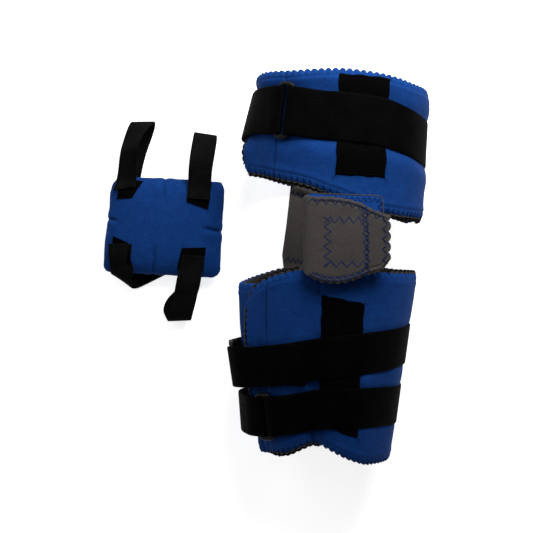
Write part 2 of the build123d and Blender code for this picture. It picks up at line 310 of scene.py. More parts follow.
def shell(name, outer, inner, places, materials):
    """A closed sheet between two grids; the second material, if any, is on the inner side."""
    rows, columns = outer.shape[:2]
    count = rows * columns
    points = np.concatenate([outer.reshape(-1, 3), inner.reshape(-1, 3)])
    index = np.arange(count).reshape(rows, columns)
    a, b, c, d = index[:-1, :-1], index[1:, :-1], index[1:, 1:], index[:-1, 1:]
    top = np.stack([a, b, c, d], -1).reshape(-1, 4)
    low = np.stack([d, c, b, a], -1).reshape(-1, 4) + count
    border = np.concatenate([index[0, :], index[1:, -1], index[-1, -2::-1], index[-2:0:-1, 0]])
    after = np.roll(border, -1)
    rim = np.stack([border, after, after + count, border + count], -1)
    faces = np.concatenate([top, low, rim])
    kinds = np.zeros(len(faces), int)
    if len(materials) > 1:
        kinds[len(top):len(top) + len(low)] = 1
    flat = np.concatenate([places.reshape(-1, 3)] * 2)
    return build(name, points, faces.tolist(), flat, kinds.tolist(), materials)


def tube(name, runs, radius, material, sides=5, closed=False):
    """Round threads or bars along several runs of points, in one mesh."""
    points, faces, places = [], [], []
    turns = 2 * math.pi * np.arange(sides) / sides
    pitch = 0.3 * MM  # cloth coordinates for each step and corner
    for run in runs:
        run = np.asarray(run, float)
        along = unit(np.roll(run, -1, 0) - np.roll(run, 1, 0) if closed else np.gradient(run, axis=0))
        up = np.where(np.abs(along[:, 2:3]) < 0.9, [[0.0, 0.0, 1.0]], [[1.0, 0.0, 0.0]])
        side = unit(np.cross(along, up))
        up = np.cross(side, along)
        start, count = len(points), len(run)
        ring = run[:, None] + np.broadcast_to(radius, count)[:, None, None] * (
            np.cos(turns)[None, :, None] * side[:, None] + np.sin(turns)[None, :, None] * up[:, None]
        )
        points.extend(ring.reshape(-1, 3))
        places.extend((step * pitch, corner * pitch, 0.0) for step in range(count) for corner in range(sides))
        for step in range(count if closed else count - 1):
            for corner in range(sides):
                a, b = step * sides + corner, step * sides + (corner + 1) % sides
                c, d = ((a + sides) % (count * sides), (b + sides) % (count * sides))
                faces.append((start + a, start + b, start + d, start + c))
        if not closed:
            faces.append(tuple(start + corner for corner in range(sides))[::-1])
            faces.append(tuple(start + (count - 1) * sides + corner for corner in range(sides)))
    return build(name, np.array(points), faces, places, [0] * len(faces), [material])


def sew(name, runs, radius, body, slot="blue_laminate", material=THREAD_BLUE, sides=5):
    """Thread that rides on a body, or is only baked in place when given a blend of two; its radius is in
    millimetres.
    """
    fit(tube(name, runs, radius * MM, material, sides), body, slot)


def travelled(run):
    """Distance along a run of points."""
    steps = np.linalg.norm(np.diff(run, axis=0), axis=1)
    return np.concatenate([[0], np.cumsum(steps)])


def resample(run, at, far=None):
    """The points of a run at distances along it; far, if given, has each point's own distance."""
    run = np.asarray(run, float)
    far = travelled(run) if far is None else far
    return np.stack([np.interp(at, far, run[:, k]) for k in range(run.shape[1])], -1)


def evened(run, step):
    """A run in even steps."""
    total = travelled(run)[-1]
    return resample(run, np.linspace(0, total, max(3, int(total / step))))


def smooth_path(points, step=0.8 * MM):
    """A run with its corners cut round, in even steps."""
    points = np.asarray(points, float)
    for _ in range(4):
        a, b = points[:-1], points[1:]
        cut = np.stack([a * 0.75 + b * 0.25, a * 0.25 + b * 0.75], 1).reshape(-1, points.shape[1])
        points = np.concatenate([points[:1], cut, points[-1:]])
    return evened(points, step)


def dashes(run, stitch=2.3 * MM, gap=1.5 * MM, lift=0.0):
    """A run of points cut into stitches that dip at their ends."""
    made = []
    for start in np.arange(0, travelled(run)[-1] - stitch, stitch + gap):
        piece = resample(run, np.linspace(start, start + stitch, 4))
        piece[[0, -1], 2] -= lift
        made.append(piece)
    return made


def zigzag(line, amplitude, pitch):
    """A zigzag seam along a plan line; its size is in millimetres."""
    total = travelled(line)[-1]
    count = max(2, round(total / (pitch * MM) * 2))
    spine = resample(line, np.linspace(0, total, count + 1))
    along = unit(np.gradient(spine, axis=0))
    swing = np.where(np.arange(count + 1) % 2, 0.5, -0.5)[:, None] * (amplitude * MM)
    corners = spine + np.stack([-along[:, 1], along[:, 0]], -1) * swing
    return resample(corners, np.linspace(0, travelled(corners)[-1], count * 5 + 1))


def lumps(u, v, scale, seed):
    """Soft uneven height between about -1 and 1."""
    total = 0
    rng = np.random.default_rng(seed)
    for octave in range(5):
        fu, fv = rng.uniform(0.5, 1.4, 2) * (1 + 0.6 * octave) / scale
        pu, pv = rng.uniform(0, 6.28, 2)
        total = total + np.sin(u * fu + pu + 1.7 * np.sin(v * fv * 0.7)) * np.cos(v * fv + pv) / (1 + octave)
    return total / 2.0


def spaced(low, high, count, edge, fine):
    """Values from low to high, with fine steps near both ends."""
    ends = np.linspace(0, edge, fine)
    return np.concatenate([low + ends, np.linspace(low + edge, high - edge, count)[1:-1], high - ends[::-1]])


def between(corners, u, v):
    """A grid's shares and plan points between four corners, in millimetres, from low left anticlockwise."""
    a, b, c, d = [np.array(corner) * MM for corner in corners]
    u, v = np.meshgrid(u, v, indexing="ij")
    p, q = u[..., None], v[..., None]
    plan = (1 - p) * (1 - q) * a + p * (1 - q) * b + p * q * c + (1 - p) * q * d
    return u, v, plan[..., 0], plan[..., 1]


# ---------------------------------------------------------------- cuffs
def section(cuff, y):
    (y0, *first), (y1, *last) = cuff
    t = (y - y0) / (y1 - y0)
    return [a + t * (b - a) for a, b in zip(first, last)]


def on_cuff(cuff, y, angle, lift):
    """Points at a height above a cuff's outside; angle 0 is right, 90 degrees is up."""
    centre, half, height = section(cuff, y)
    tall = (height + SINK) / 2
    c, s = np.cos(angle), np.sin(angle)
    nx, nz = c / half, s / tall
    size = np.hypot(nx, nz)
    x = centre + half * c + lift * (nx / size)
    z = height - tall + tall * s + lift * (nz / size)
    return xyz(x, y, np.maximum(z, np.maximum(-lift, 0) + 0.3 * MM))


def angle_at(cuff, x, y):
    """The angle of a place on a cuff's upper side."""
    centre, half, _ = section(cuff, y)
    return np.arccos(np.clip((x - centre) / half, -1, 1))


def by_angle(*pairs):
    """A smooth edge line: y in millimetres at angles in degrees."""
    degrees, heights = np.array(pairs, float).T
    angles = np.radians(degrees)
    fine = np.linspace(angles[0], angles[-1], 400)
    line = smoothed(np.interp(fine, angles, heights * MM), 25)
    return lambda angle: np.interp(angle, fine, line)


def scallops(distance, pitch, size):
    return size * (np.abs(np.sin(math.pi * distance / pitch)) ** 0.55 - 0.4)


def at_edge(distance, reach=5 * MM):
    """1 at an edge, and 0 from a reach inside it."""
    return np.clip(1 - distance / reach, 0, 1) ** 1.5


SCALLOP = 6.3 * MM
PANEL_STEP = 0.75 * MM
HEM = 4.8 * MM  # width of the pressed edge
SEAM_IN, RIDGE_IN = 5.4 * MM, 8 * MM  # from the edge to the seam and to the ridge behind it


def cuff_panel(name, cuff, degrees, low_edge, high_edge, relief, corners, tuck=None, wall=WALL):
    """A laminate panel wrapped round a cuff between two scalloped edges.

    relief(x, y, angle) moves the face in or out; corners has the radii of each end's low and high corners;
    tuck moves the panel inwards.
    """
    fine = np.radians(np.linspace(*degrees, 1200))
    middle = (low_edge(fine[0]) + high_edge(fine[0])) / 2
    far = travelled(on_cuff(cuff, middle, fine, 0.0))
    total = far[-1]
    along = np.linspace(0, total, int(total / PANEL_STEP))
    angle = np.interp(along, far, fine)
    low, high = low_edge(angle), high_edge(angle)
    for end, radii in ((along, corners[0]), (total - along, corners[1])):
        insets = [r - np.sqrt(np.maximum(r ** 2 - np.maximum(r - end, 0) ** 2, 0)) for r in radii]
        low, high = low + insets[0], high - insets[1]
    share = spaced(0.0, 1.0, 64, 0.07, 9)[None, :]
    y = low[:, None] + share * (high - low)[:, None]
    from_low, from_high = y - low[:, None], high[:, None] - y
    wave = scallops(along, SCALLOP, 2.5 * MM)[:, None]
    end_wave = scallops(y, SCALLOP, 2.3 * MM)
    y = y - wave * at_edge(from_low) + wave * at_edge(from_high)
    from_start = along[:, None] + 0 * y
    from_end = total - from_start
    shift = end_wave * (at_edge(from_end) - at_edge(from_start))
    spread = np.interp(from_start + shift, along, angle)
    from_side, from_tip = np.minimum(from_low, from_high), np.minimum(from_start, from_end)
    near = np.minimum(from_side, from_tip)
    lift = relief(on_cuff(cuff, y, spread, 0.0)[..., 0], y, spread)
    if tuck is not None:
        lift = lift + tuck(spread)
    pull = np.abs(np.sin(math.pi / SCALLOP * np.where(from_tip < from_side, y, along[:, None])))
    hem = smooth_step(near, 0, HEM)
    lift = lift - (1 - hem) * (0.35 + 1.9 * (1 - pull) ** 2) * MM
    lift = lift + 0.4 * MM * bell(near - RIDGE_IN, 2.4 * MM) - 0.45 * MM * bell(near - SEAM_IN, 0.9 * MM)
    lift = lift + lumps(along[:, None], y, 0.012, 3) * 0.25 * MM * hem
    thick = wall * (0.55 + 0.45 * np.sqrt(np.clip(near / (3 * MM), 0, 1)))
    outer = on_cuff(cuff, y, spread, lift - wall / 2 + thick / 2)
    inner = on_cuff(cuff, y, spread, lift - wall / 2 - thick / 2)
    return shell(name, outer, inner, xyz(from_start, y, 0), [BLUE, GREY]), (outer, inner)


def panel_edge(panel, side):
    """One side of a panel: its edge on the outer and the inner face, and a line a little further in."""
    outer, inner = panel
    return {
        "low": (outer[:, 0], inner[:, 0], outer[:, 8]), "high": (outer[:, -1], inner[:, -1], outer[:, -9]),
        "start": (outer[0], inner[0], outer[6]), "end": (outer[-1], inner[-1], outer[-7]),
    }[side]


def edge_thread(name, panel, sides, body, slot="blue_laminate", material=THREAD_BLUE):
    """Zigzag sewing over a panel's edges."""
    depth = 4.4 * MM
    runs = []
    for side in sides:
        edge, _, inside = panel_edge(panel, side)
        far = travelled(edge)
        count = max(2, int(far[-1] / (SCALLOP / 2)))
        at = np.linspace(0, far[-1], count * 6 + 1)
        swing = np.abs((np.arange(len(at)) / 6) % 2 - 1)
        start = resample(edge, at, far)
        runs.append(start + unit(resample(inside, at, far) - start) * (swing * depth)[:, None])
    sew(name, runs, 0.36, body, slot, material)


def rim_cord(name, panel, sides, body, out, level, radius, material):
    """A rolled edge or its thread, just outside a panel's edges; sides has (side, from, to) in shares."""
    runs = []
    for side, start, stop in sides:
        top, low, inside = panel_edge(panel, side)
        run = low + (top - low) * (level + 0.6 * (side == "end")) + unit(top - inside) * out
        first, last = int(start * (len(run) - 1)), int(stop * (len(run) - 1)) + 1
        runs.append(evened(run[first:last], 0.9 * MM))
    sew(name, runs, radius, body, "grey_lining", material, 7)


def course_line(*pairs):
    """A strap's middle line: y over x, both in millimetres, smoothed."""
    xs = np.linspace(pairs[0][0] - 25, pairs[-1][0] + 25, 300)
    ys = smoothed(np.interp(xs, *np.array(pairs, float).T), 35)
    return lambda x: np.interp(x, xs * MM, ys * MM)


thigh_line = course_line(
    (-15, 154), (20.5, 148.7), (53, 142), (92, 138.5), (115, 136), (138, 130), (161, 124)
)
calf_line = course_line((-31, -93.6), (-14.5, -93), (54.5, -79.8), (95, -75.2), (126, -73), (147, -70.3))
ankle_line = course_line(
    (-15, -139), (2.5, -140), (25, -134.7), (58, -128.3), (90, -127), (119, -128.6), (142, -132)
)


def thigh_hem(y):
    return 0.0165 - 0.14 * (0.13 - y)


def calf_hem(y):
    return 0.0045 - 0.02 * y


CORNER_PULL = 9 * MM  # how far the thigh's upper left corner is pulled in


def hem_groove(x, line):
    return -1.2 * MM * bell(x - line, 1.1 * MM)


def thigh_relief(x, y, angle):
    """The thigh cuff's uneven surface: pressed in under the strap and pulled in at the upper left corner."""
    strap = np.abs(y - thigh_line(x))
    pressed = -1.6 * MM * (1 - smooth_step(strap, 16 * MM, 30 * MM))
    puffed = 1.6 * MM * bell(strap - 34 * MM, 11 * MM)
    wrinkle = 0.55 * MM * np.sin(x / (5.2 * MM)) * bell(strap - 25 * MM, 7 * MM)
    corner = -CORNER_PULL * smooth_step(y, 0.144, 0.180) * turned_step(angle, 135, 178)
    flare = 6.5 * MM * turned_step(angle, 148, 166) * (1 - smooth_step(y, 0.116, 0.146))
    return pressed + puffed + wrinkle + corner + flare + hem_groove(x, thigh_hem(y)) * (np.sin(angle) > 0.2)


def calf_relief(x, y, angle):
    """The calf cuff's surface: pressed in under its straps, with a crease down its front."""
    total = 0
    for line in (calf_line, ankle_line):
        strap = np.abs(y - line(x))
        total = total - 1.3 * MM * (1 - smooth_step(strap, 14 * MM, 25 * MM))
        total = total + 0.5 * MM * np.sin(x / (4.8 * MM)) * bell(strap - 22 * MM, 6 * MM)
    up = np.clip(np.sin(angle), 0, 1)
    down = smooth_step(-y, 0.02, 0.18)
    crease = -(1.5 * MM + 7.5 * MM * down) * bell(x - 0.051, 9 * MM + 8 * MM * down) * up ** 2
    puff = (1.0 * MM + 3.2 * MM * down) * (bell(x - 0.018, 16 * MM) + bell(x - 0.092, 20 * MM)) * up ** 2
    left = 3.5 * MM * bell(angle - math.pi, 0.6) * smooth_step(-y, 0.0, 0.05) * smooth_step(y, -0.17, -0.12)
    flare = (0.5 + 6.0 * smooth_step(-y, 0.02, 0.075)) * MM * smooth_step(y, -0.16, -0.13)
    flare = flare * turned_step(angle, 143, 156)
    fold = 0.0485 + 0.006 * smooth_step(y, -0.15, -0.01)
    ends = smooth_step(-y, 0.135, 0.16) + smooth_step(y, -0.032, -0.016)
    grooves = (hem_groove(x, calf_hem(y)) - 1.5 * MM * bell(x - fold, 1.5 * MM) * ends) * (up > 0.2)
    return total + crease + puff + left + flare + grooves


def hem_thread(name, cuff, relief, hem, start, end):
    """The thin dark line of a sewn hem on a front."""
    y = np.linspace(start, end, 200) * MM
    x = hem(y)
    angle = angle_at(cuff, x, y)
    run = on_cuff(cuff, y, angle, relief(x, y, angle) + 0.05 * MM)
    sew(f"{name}_hem_thread", [run], 0.34, f"{name}_wrap")


def lap(start, end, depth):
    """Moves a panel's end inwards, under the other panel."""
    return lambda angle: -depth * (1 - turned_step(angle, start, end))


thigh_low = by_angle(
    (-30, 52), (0, 54), (46, 54.2), (64, 56.5), (78, 62.5), (90, 69.6), (102, 76), (108, 80.2), (120, 85.3),
    (130, 88), (143, 93), (165, 99), (188, 104)
)
thigh_high = by_angle(
    (-30, 174), (0, 174), (42, 174), (64, 178), (90, 181.4), (120, 182), (146, 186), (165, 186), (188, 183)
)
thigh_back_low = by_angle(
    (160, 106), (190, 106), (205, 102), (240, 93.6), (280, 76), (320, 57.5), (335, 52), (350, 51)
)
thigh_back_high = by_angle((160, 180), (200, 180), (270, 181), (350, 175))
calf_high = by_angle(
    (-30, -3), (8, -2.6), (50, -1.2), (63, -0.6), (85, 1.5), (107, 2.3), (116, 0), (126, -3.3), (133, -6.5),
    (142, -12), (148, -17.5), (152, -24), (155, -31), (188, -34)
)
calf_low = by_angle(
    (-30, -186), (10, -187), (40, -185), (58, -183.5), (74, -177), (89, -168.5), (104, -161), (116, -166.5),
    (126, -172), (142, -174), (165, -172), (188, -166)
)
calf_back_high = by_angle(
    (160, -12), (182, -12), (200, -9), (215, -5), (228, -1), (240, 3.3), (310, 4.4), (350, -1)
)
calf_back_low = by_angle((160, -180), (200, -183), (270, -183), (350, -186))

def thigh_back_relief(x, y, angle):
    """The thigh's back is pulled in at the upper left corner."""
    return -CORNER_PULL * smooth_step(y, 0.144, 0.180) * (1 - turned_step(angle, 190, 225))


def calf_back_relief(x, y, angle):
    """The calf's back bulges a little at the left, above the ankle."""
    bulge = 3.4 * MM * smooth_step(-y, 0.01, 0.06) * smooth_step(y, -0.16, -0.12)
    return bulge * bell(angle - math.pi, 0.5)


def front_fold(body, fold_x):
    """A front's blend: its two bodies and the ends of a band about its fold."""
    return body, f"{body}_wrap", (fold_x + FOLD_HALF, 0, 0), (fold_x - FOLD_HALF, 0, 0)


FRONT_START, BACK_END = -26, 336  # degrees
FRONT_RIM = (1.7 * MM, 0.45, 1.9, RIM_BLACK)  # how far out, level between the faces, radius
RIM_THREAD = (0.6 * MM, 1.0, 0.5, THREAD_BROWN)


def make_cuff(name, cuff, relief, edges, fold_x, corner, end, rims, back_rim, back_relief):
    """One cuff: a front with its free edge at an end angle, and a back that stays."""
    low, high, back_low, back_high = edges
    wrap, fold = f"{name}_wrap", front_fold(name, fold_x)
    front, grid = cuff_panel(
        f"{name}_front_panel", cuff, (FRONT_START, end), low, high, relief, ((0.0, 0.0), corner)
    )
    fit(front, fold, "blue_laminate", f"{name}_front", f"{name}_front_lining", fill=0.3)
    edge_thread(f"{name}_front_edging", grid, ("low", "high", "end"), fold)
    rim_cord(f"{name}_front_rim", grid, rims, fold, *FRONT_RIM)
    rim_cord(f"{name}_front_rim_thread", grid, rims, fold, *RIM_THREAD)
    sew(f"{name}_front_topstitch", dashes(grid[0][-8][8:-8], lift=0.5 * MM), 0.32, wrap)
    back, grid = cuff_panel(
        f"{name}_back_panel", cuff, (end - 20, BACK_END), back_low, back_high, back_relief,
        ((8 * MM, 8 * MM), (0.0, 0.0)), lap(end + 7, end + 24, 6.8 * MM), BACK_WALL
    )
    fit(back, name, "blue_laminate", f"{name}_shell", f"{name}_shell_lining", fill=0.3)
    edge_thread(f"{name}_back_edging", grid, ("low", "high", "start"), name, "grey_lining", back_rim)


make_cuff(
    "thigh", THIGH, thigh_relief, (thigh_low, thigh_high, thigh_back_low, thigh_back_high), THIGH_FOLD_X,
    (5 * MM, 8 * MM), 166, (("low", 0.1, 0.45), ("low", 0.655, 0.985), ("end", 0.03, 0.97)),
    RIM_BLACK, thigh_back_relief
)
make_cuff(
    "calf", CALF, calf_relief, (calf_low, calf_high, calf_back_low, calf_back_high), CALF_FOLD_X,
    (8 * MM, 0.0), 155, (("high", 0.05, 0.4), ("high", 0.75, 0.99), ("low", 0.68, 0.98), ("end", 0.03, 0.97)),
    THREAD_BROWN, calf_back_relief
)
hem_thread("thigh", THIGH, thigh_relief, thigh_hem, 90, 179)
hem_thread("calf", CALF, calf_relief, calf_hem, -171, -11)


# ---------------------------------------------------------------- straps
PATCH = 1.2 * MM
BAR = 1.7 * MM  # radius of a ring's bar
RING_HALF = 6.3 * MM  # from a ring's middle to its bars
RING_END = 3.4 * MM  # how far its rounded ends reach
LOW = 0.3 * MM + WEB / 2  # height of a strap's middle above the cuff
RING_LIFT = LOW + WEB / 2 + BAR + 0.5 * MM


class Strap:
    """A strap's course round a cuff. Distances along it grow to the left, from zero at the cuff's top."""

    def __init__(self, cuff, relief, line, width, patch, lean, twist=0.0):
        self.cuff, self.line, self.width, self.lean, self.twist = cuff, line, width, lean, twist
        self.angles = np.radians(np.linspace(-60, 265, 1600))
        x, y = self.course(self.angles)
        self.distances = travelled(on_cuff(cuff, y, self.angles, 0.0))
        self.distances -= np.interp(math.pi / 2, self.angles, self.distances)
        edge = 0.45 * width
        turned = edge * self.turned(self.angles) - 0.4 * MM
        lift = np.maximum(relief(x, y, self.angles), relief(x, y + edge, self.angles) + turned)
        lift = np.maximum(lift, relief(x, y - edge, self.angles) - turned - 0.8 * MM)
        start, stop = patch
        on_patch = smooth_step(x, start - 2 * MM, start + MM) * (1 - smooth_step(x, stop - MM, stop + 2 * MM))
        lift = lift + PATCH * on_patch * (np.sin(self.angles) > 0)
        self.lift = smoothed(np.maximum(lift, smoothed(lift, 121)), 91)

    def turned(self, angle):
        """How far the strap turns about its own course near its left end."""
        return self.twist * turned_step(angle, 135, 172)

    def course(self, angle):
        """The middle line's x and y at an angle, from a first guess of x."""
        x = 0.07 + 0.08 * np.cos(angle)
        for _ in range(4):
            y = self.line(x)
            centre, half, _ = section(self.cuff, y)
            x = centre + half * np.cos(angle)
        return x, y

    def above(self, x):
        """Distance to the place on the cuff's upper side with this x."""
        top = (self.angles > 0) & (self.angles < math.pi)
        across, _ = self.course(self.angles[top])
        return np.interp(-x, -across, self.distances[top])

    def at_angle(self, degrees):
        return np.interp(math.radians(degrees), self.angles, self.distances)

    def place(self, distance, across, height, shift=0.0):
        distance = distance + self.lean * across
        angle = np.interp(distance, self.distances, self.angles)
        _, y = self.course(angle)
        lift = np.interp(distance, self.distances, self.lift) + height - across * self.turned(angle)
        return on_cuff(self.cuff, y + across + shift, angle, lift)


def flat_web(name, place, path, width, thickness=WEB, material=BLACK_WEB):
    """Webbing along a path of (distance, height) pairs, laid by a placing function."""
    path = smooth_path(path)
    forward = unit(np.gradient(path, axis=0))
    share = np.array([-1, -0.97, -0.9, -0.6, -0.3, 0, 0.3, 0.6, 0.9, 0.97, 1.0])[None, :]
    half = thickness / 2 * np.where(np.abs(share) > 0.99, 0.4, np.where(np.abs(share) > 0.95, 0.85, 1.0))
    across = share * width / 2
    far = travelled(path)[:, None]
    wave = 0.25 * MM * np.sin(far / (9 * MM)) * share
    along, up = path[:, :1], path[:, 1:] + wave
    aside, rise = forward[:, 1:] * half, forward[:, :1] * half
    outer, inner = place(along - aside, across, up + rise), place(along + aside, across, up - rise)
    return shell(name, outer, inner, xyz(far, across, 0), [material])


def ring_mesh(name, strap, middle, height, length, shift=0.0, drop=0.0):
    """A moulded ring with flattened ends that lies along a strap's course; drop lowers its far bar."""
    turn = np.linspace(0, 2 * math.pi, 96, endpoint=False)
    c, s = np.cos(turn), np.sin(turn)
    along = RING_HALF * np.sign(c) * np.abs(c) ** 0.7
    across = RING_END * np.sign(s) * np.abs(s) ** 0.8 + np.tanh(s * 9) * (length / 2 - RING_END)
    lift = height - drop * (along / RING_HALF + 1) / 2
    points = strap.place(middle + along, across, lift, shift)
    points = np.vstack([points, points[:1]])
    points = resample(points, np.linspace(0, 1, 160, endpoint=False) * travelled(points)[-1])
    reach = np.abs(points[:, 1] - points[:, 1].mean()) - (length / 2 - 2 * MM)
    radius = BAR + 0.6 * MM * smooth_step(reach, 0, 1.5 * MM)
    return tube(name, [points], radius, PLASTIC, 10, True)


def bar_wrap(bar, height, way, tail):
    """Path points of webbing that comes along the cuff, goes over a bar and doubles back under itself."""
    over = BAR + WEB / 2 + 0.1 * MM
    return [
        (bar - way * 34 * MM, LOW), (bar - way * 28 * MM, LOW + 0.3 * MM), (bar - way * 22 * MM, LOW + WEB),
        (bar - way * 13 * MM, LOW + WEB + 0.8 * MM), (bar - way * 3 * MM, height + over + 0.1 * MM),
        (bar + way * (over + 0.6 * MM), height + over), (bar + way * (over + 1.8 * MM), height),
        (bar + way * (over - 0.2 * MM), height - over), (bar - way * 3 * MM, height - over - 0.2 * MM),
        (bar - way * 8 * MM, LOW), (bar - way * tail, LOW),
    ]


def stitched(name, body, strap, rows, height, stitch, gap, radius, shift=0.0):
    """Stitches along rows of (distance, across) on a strap; their sizes are in millimetres."""
    runs = []
    for distance, across in rows:
        runs += dashes(strap.place(distance, across, height, shift), stitch * MM, gap * MM, 0.35 * MM)
    sew(name, runs, radius, body, "black_webbing", THREAD_BLACK)


def rows_across(distances, width):
    return [(distance, np.linspace(-width / 2, width / 2, 40)) for distance in distances]


def two_part_strap(name, body, strap, fold_x, ring_x, low_angles, stand_off):
    """A strap with its ring on the front, and the anchor that sticks to the back on the left."""
    wrap, ring = f"{body}_wrap", strap.above(ring_x)
    right, left = ring - RING_HALF, ring + RING_HALF
    start, end = [strap.at_angle(degrees) for degrees in low_angles]
    path = [(start, LOW), (right - 60 * MM, LOW)] + bar_wrap(right, RING_LIFT, 1, 20 * MM)
    front = flat_web(f"{name}_web", strap.place, path, strap.width)
    fit(front, front_fold(body, fold_x), "black_webbing", f"{name}_front", f"{name}_side")
    path = [
        (end, LOW), (strap.at_angle(205), LOW), (strap.at_angle(188), LOW + 0.8 * stand_off),
        (strap.at_angle(172), LOW + stand_off), (strap.at_angle(158), LOW + stand_off),
        (left + 16 * MM, LOW + max(WEB + 0.5 * MM, 0.95 * stand_off)),
    ] + bar_wrap(left, RING_LIFT, -1, 14 * MM)[4:]
    anchor = flat_web(f"{name}_anchor_web", strap.place, path[::-1], strap.width)
    fit(anchor, wrap, "black_webbing", f"{name}_anchor")
    oval = ring_mesh(f"{name}_oval_ring", strap, ring, RING_LIFT, strap.width + 4.2 * MM)
    fit(oval, wrap, "black_plastic", f"{name}_ring")
    top = LOW + WEB + WEB / 2 + 0.35 * MM
    places = [right - gap * MM for gap in (5.5, 11.5, 14.2, 16.4, 18.6, 20.8)]
    rows = rows_across(places, strap.width - 3 * MM)
    stitched(f"{name}_stitches", wrap, strap, rows, top, 1.9, 1.1, 0.38)


thigh_strap = Strap(THIGH, thigh_relief, thigh_line, 43 * MM, (0.069, 0.114), -0.145, 0.27)
calf_strap = Strap(CALF, calf_relief, calf_line, 39.5 * MM, (0.055, 0.095), 0.04)
ankle_strap = Strap(CALF, calf_relief, ankle_line, 39 * MM, (0.055, 0.093), 0.03, 0.06)
two_part_strap("thigh_strap", "thigh", thigh_strap, THIGH_FOLD_X, 23 * MM, (-38, 214), 1.8 * MM)
two_part_strap("ankle_strap", "calf", ankle_strap, CALF_FOLD_X, 8.5 * MM, (-32, 214), 3.6 * MM)


def folded_strap(strap, wrap):
    """The calf strap: round a ring that stands off the left side, and back over itself to a cut end."""
    at = strap.at_angle
    bar, height = at(163), 9.6 * MM
    over = BAR + WEB / 2 + 0.2 * MM
    second = LOW + WEB + 0.6 * MM  # height of the doubled layer
    end, slip = strap.above(41 * MM), -4.2 * MM  # the cut end, and how far the doubled layer slips down
    path = [
        (at(-32), LOW), (at(60), LOW), (at(118), LOW), (at(134), LOW + 1.5 * MM),
        (at(150), height - over - 1.5 * MM), (bar - 2 * MM, height - over), (bar + over, height - over),
        (bar + over + 0.8 * MM, height), (bar + over, height + over), (bar - 2 * MM, height + over),
        (at(150), height + over - 2.5 * MM), (at(134), second + 2.4 * MM), (at(118), second + 0.3 * MM),
        (at(108), second), (end, second),
    ]

    def place(distance, across, height):
        """The doubled end lies a little lower than the layer under it."""
        doubled = (height > 2.5 * MM) * (distance > strap.above(44 * MM))
        returned = doubled * (1 - smooth_step(distance, at(104), at(124)))
        return strap.place(distance, across, height, slip * returned)

    web = flat_web("calf_strap_web", place, path, strap.width)
    nodes = ("calf_strap_front", "calf_strap_side", "calf_strap_tail")
    fit(web, front_fold("calf", CALF_FOLD_X), "black_webbing", *nodes)
    drop, shift = 5.4 * MM, 5 * MM
    ring = bar + RING_HALF
    oval = ring_mesh("calf_strap_oval_ring", strap, ring, height, strap.width + 2 * MM, 2 * MM, drop)
    fit(oval, wrap, "black_plastic", "calf_strap_ring")
    far, far_height = ring + RING_HALF, height - drop
    path = [
        (at(214), LOW), (at(204), LOW), (far + 9 * MM, LOW + WEB + 0.6 * MM),
        (far + 2 * MM, far_height + over), (far - over, far_height + over), (far - over - MM, far_height),
        (far - over, far_height - over), (far + 2 * MM, LOW), (far + 10 * MM, LOW),
    ]
    anchor = flat_web(
        "calf_strap_anchor_web", lambda a, b, c: strap.place(a, b, c, shift), path[::-1], strap.width
    )
    fit(anchor, wrap, "black_webbing", "calf_strap_anchor")
    top, side = second + WEB / 2 + 0.1 * MM, strap.width / 2 - 2.2 * MM
    rows = rows_across([end + 3 * MM, end + 8 * MM], strap.width - 3 * MM)
    stitched("calf_strap_stitches", wrap, strap, rows, top, 1.9, 1.1, 0.38, slip)
    rows = [(np.linspace(end + 3 * MM, at(104), 80), way * side) for way in (-1, 1)]
    stitched("calf_strap_edge_stitches", wrap, strap, rows, top, 2.2, 1.4, 0.36, slip)


folded_strap(calf_strap, "calf_wrap")


def patch_mesh(name, cuff, relief, corners, body):
    """A loop patch sewn on a cuff: corners in plan, in millimetres, from low left anticlockwise."""
    u, v, x, y = between(corners, spaced(0, 1, 60, 0.03, 4), spaced(0, 1, 110, 0.02, 4))
    x, y = (
        x + 0.35 * MM * np.sin(y / (3.1 * MM)) * (np.abs(u - 0.5) > 0.48),
        y + 0.4 * MM * np.sin(x / (2.7 * MM)) * (np.abs(v - 0.5) > 0.49),
    )
    angle = angle_at(cuff, x, y)
    lift = relief(x, y, angle)
    near = least(u * 42 * MM, (1 - u) * 42 * MM, v * 92 * MM, (1 - v) * 92 * MM)
    rough = lumps(x, y, 0.0022, 9) * 0.12 * MM
    thick = PATCH * (0.5 + 0.5 * smooth_step(near, 0, 1.2 * MM)) + rough
    thick = thick - 0.5 * MM * bell(near - 2.6 * MM, 0.6 * MM)
    outer = on_cuff(cuff, y, angle, lift + thick)
    inner = on_cuff(cuff, y, angle, lift - 0.8 * MM)
    made = shell(f"{name}_loop_patch", outer, inner, xyz(x, y, 0), [LOOP_PILE])
    fit(made, body, "hook_and_loop", f"{name}_patch")
    edge = [outer[3, 3:-3], outer[-4, 3:-3], outer[3:-3, 3], outer[3:-3, -4]]
    runs = []
    for line in edge:
        runs += dashes(line + [0, 0, 0.1 * MM], 2.0 * MM, 1.0 * MM, 0.3 * MM)
    for start, (a, b) in ((outer[0, 0], (-3, -3.5)), (outer[-1, 0], (2.5, -4)), (outer[-1, -1], (3, 1))):
        loose = ((0, 0, 0), (a * 0.4, b * 0.4, 0.8), (a, b * 0.7, 0.3), (a * 0.8, b, 0.1))
        runs.append(smooth_path(start + np.array(loose) * MM))
    sew(f"{name}_loop_patch_threads", runs, 0.26, body, "hook_and_loop", THREAD_BLACK)


patch_mesh("thigh", THIGH, thigh_relief, ((68, 89), (113.5, 87), (116, 175), (70, 177)), "thigh")
patch_mesh("calf", CALF, calf_relief, ((54, -143), (90, -156), (95, -28), (56, -20)), "calf")


# ---------------------------------------------------------------- hinge cover and bridge
def plan_line(*pairs):
    """y over x in metres, from points in millimetres."""
    xs, ys = np.array(pairs, float).T * MM
    return lambda x: np.interp(x, xs, ys)


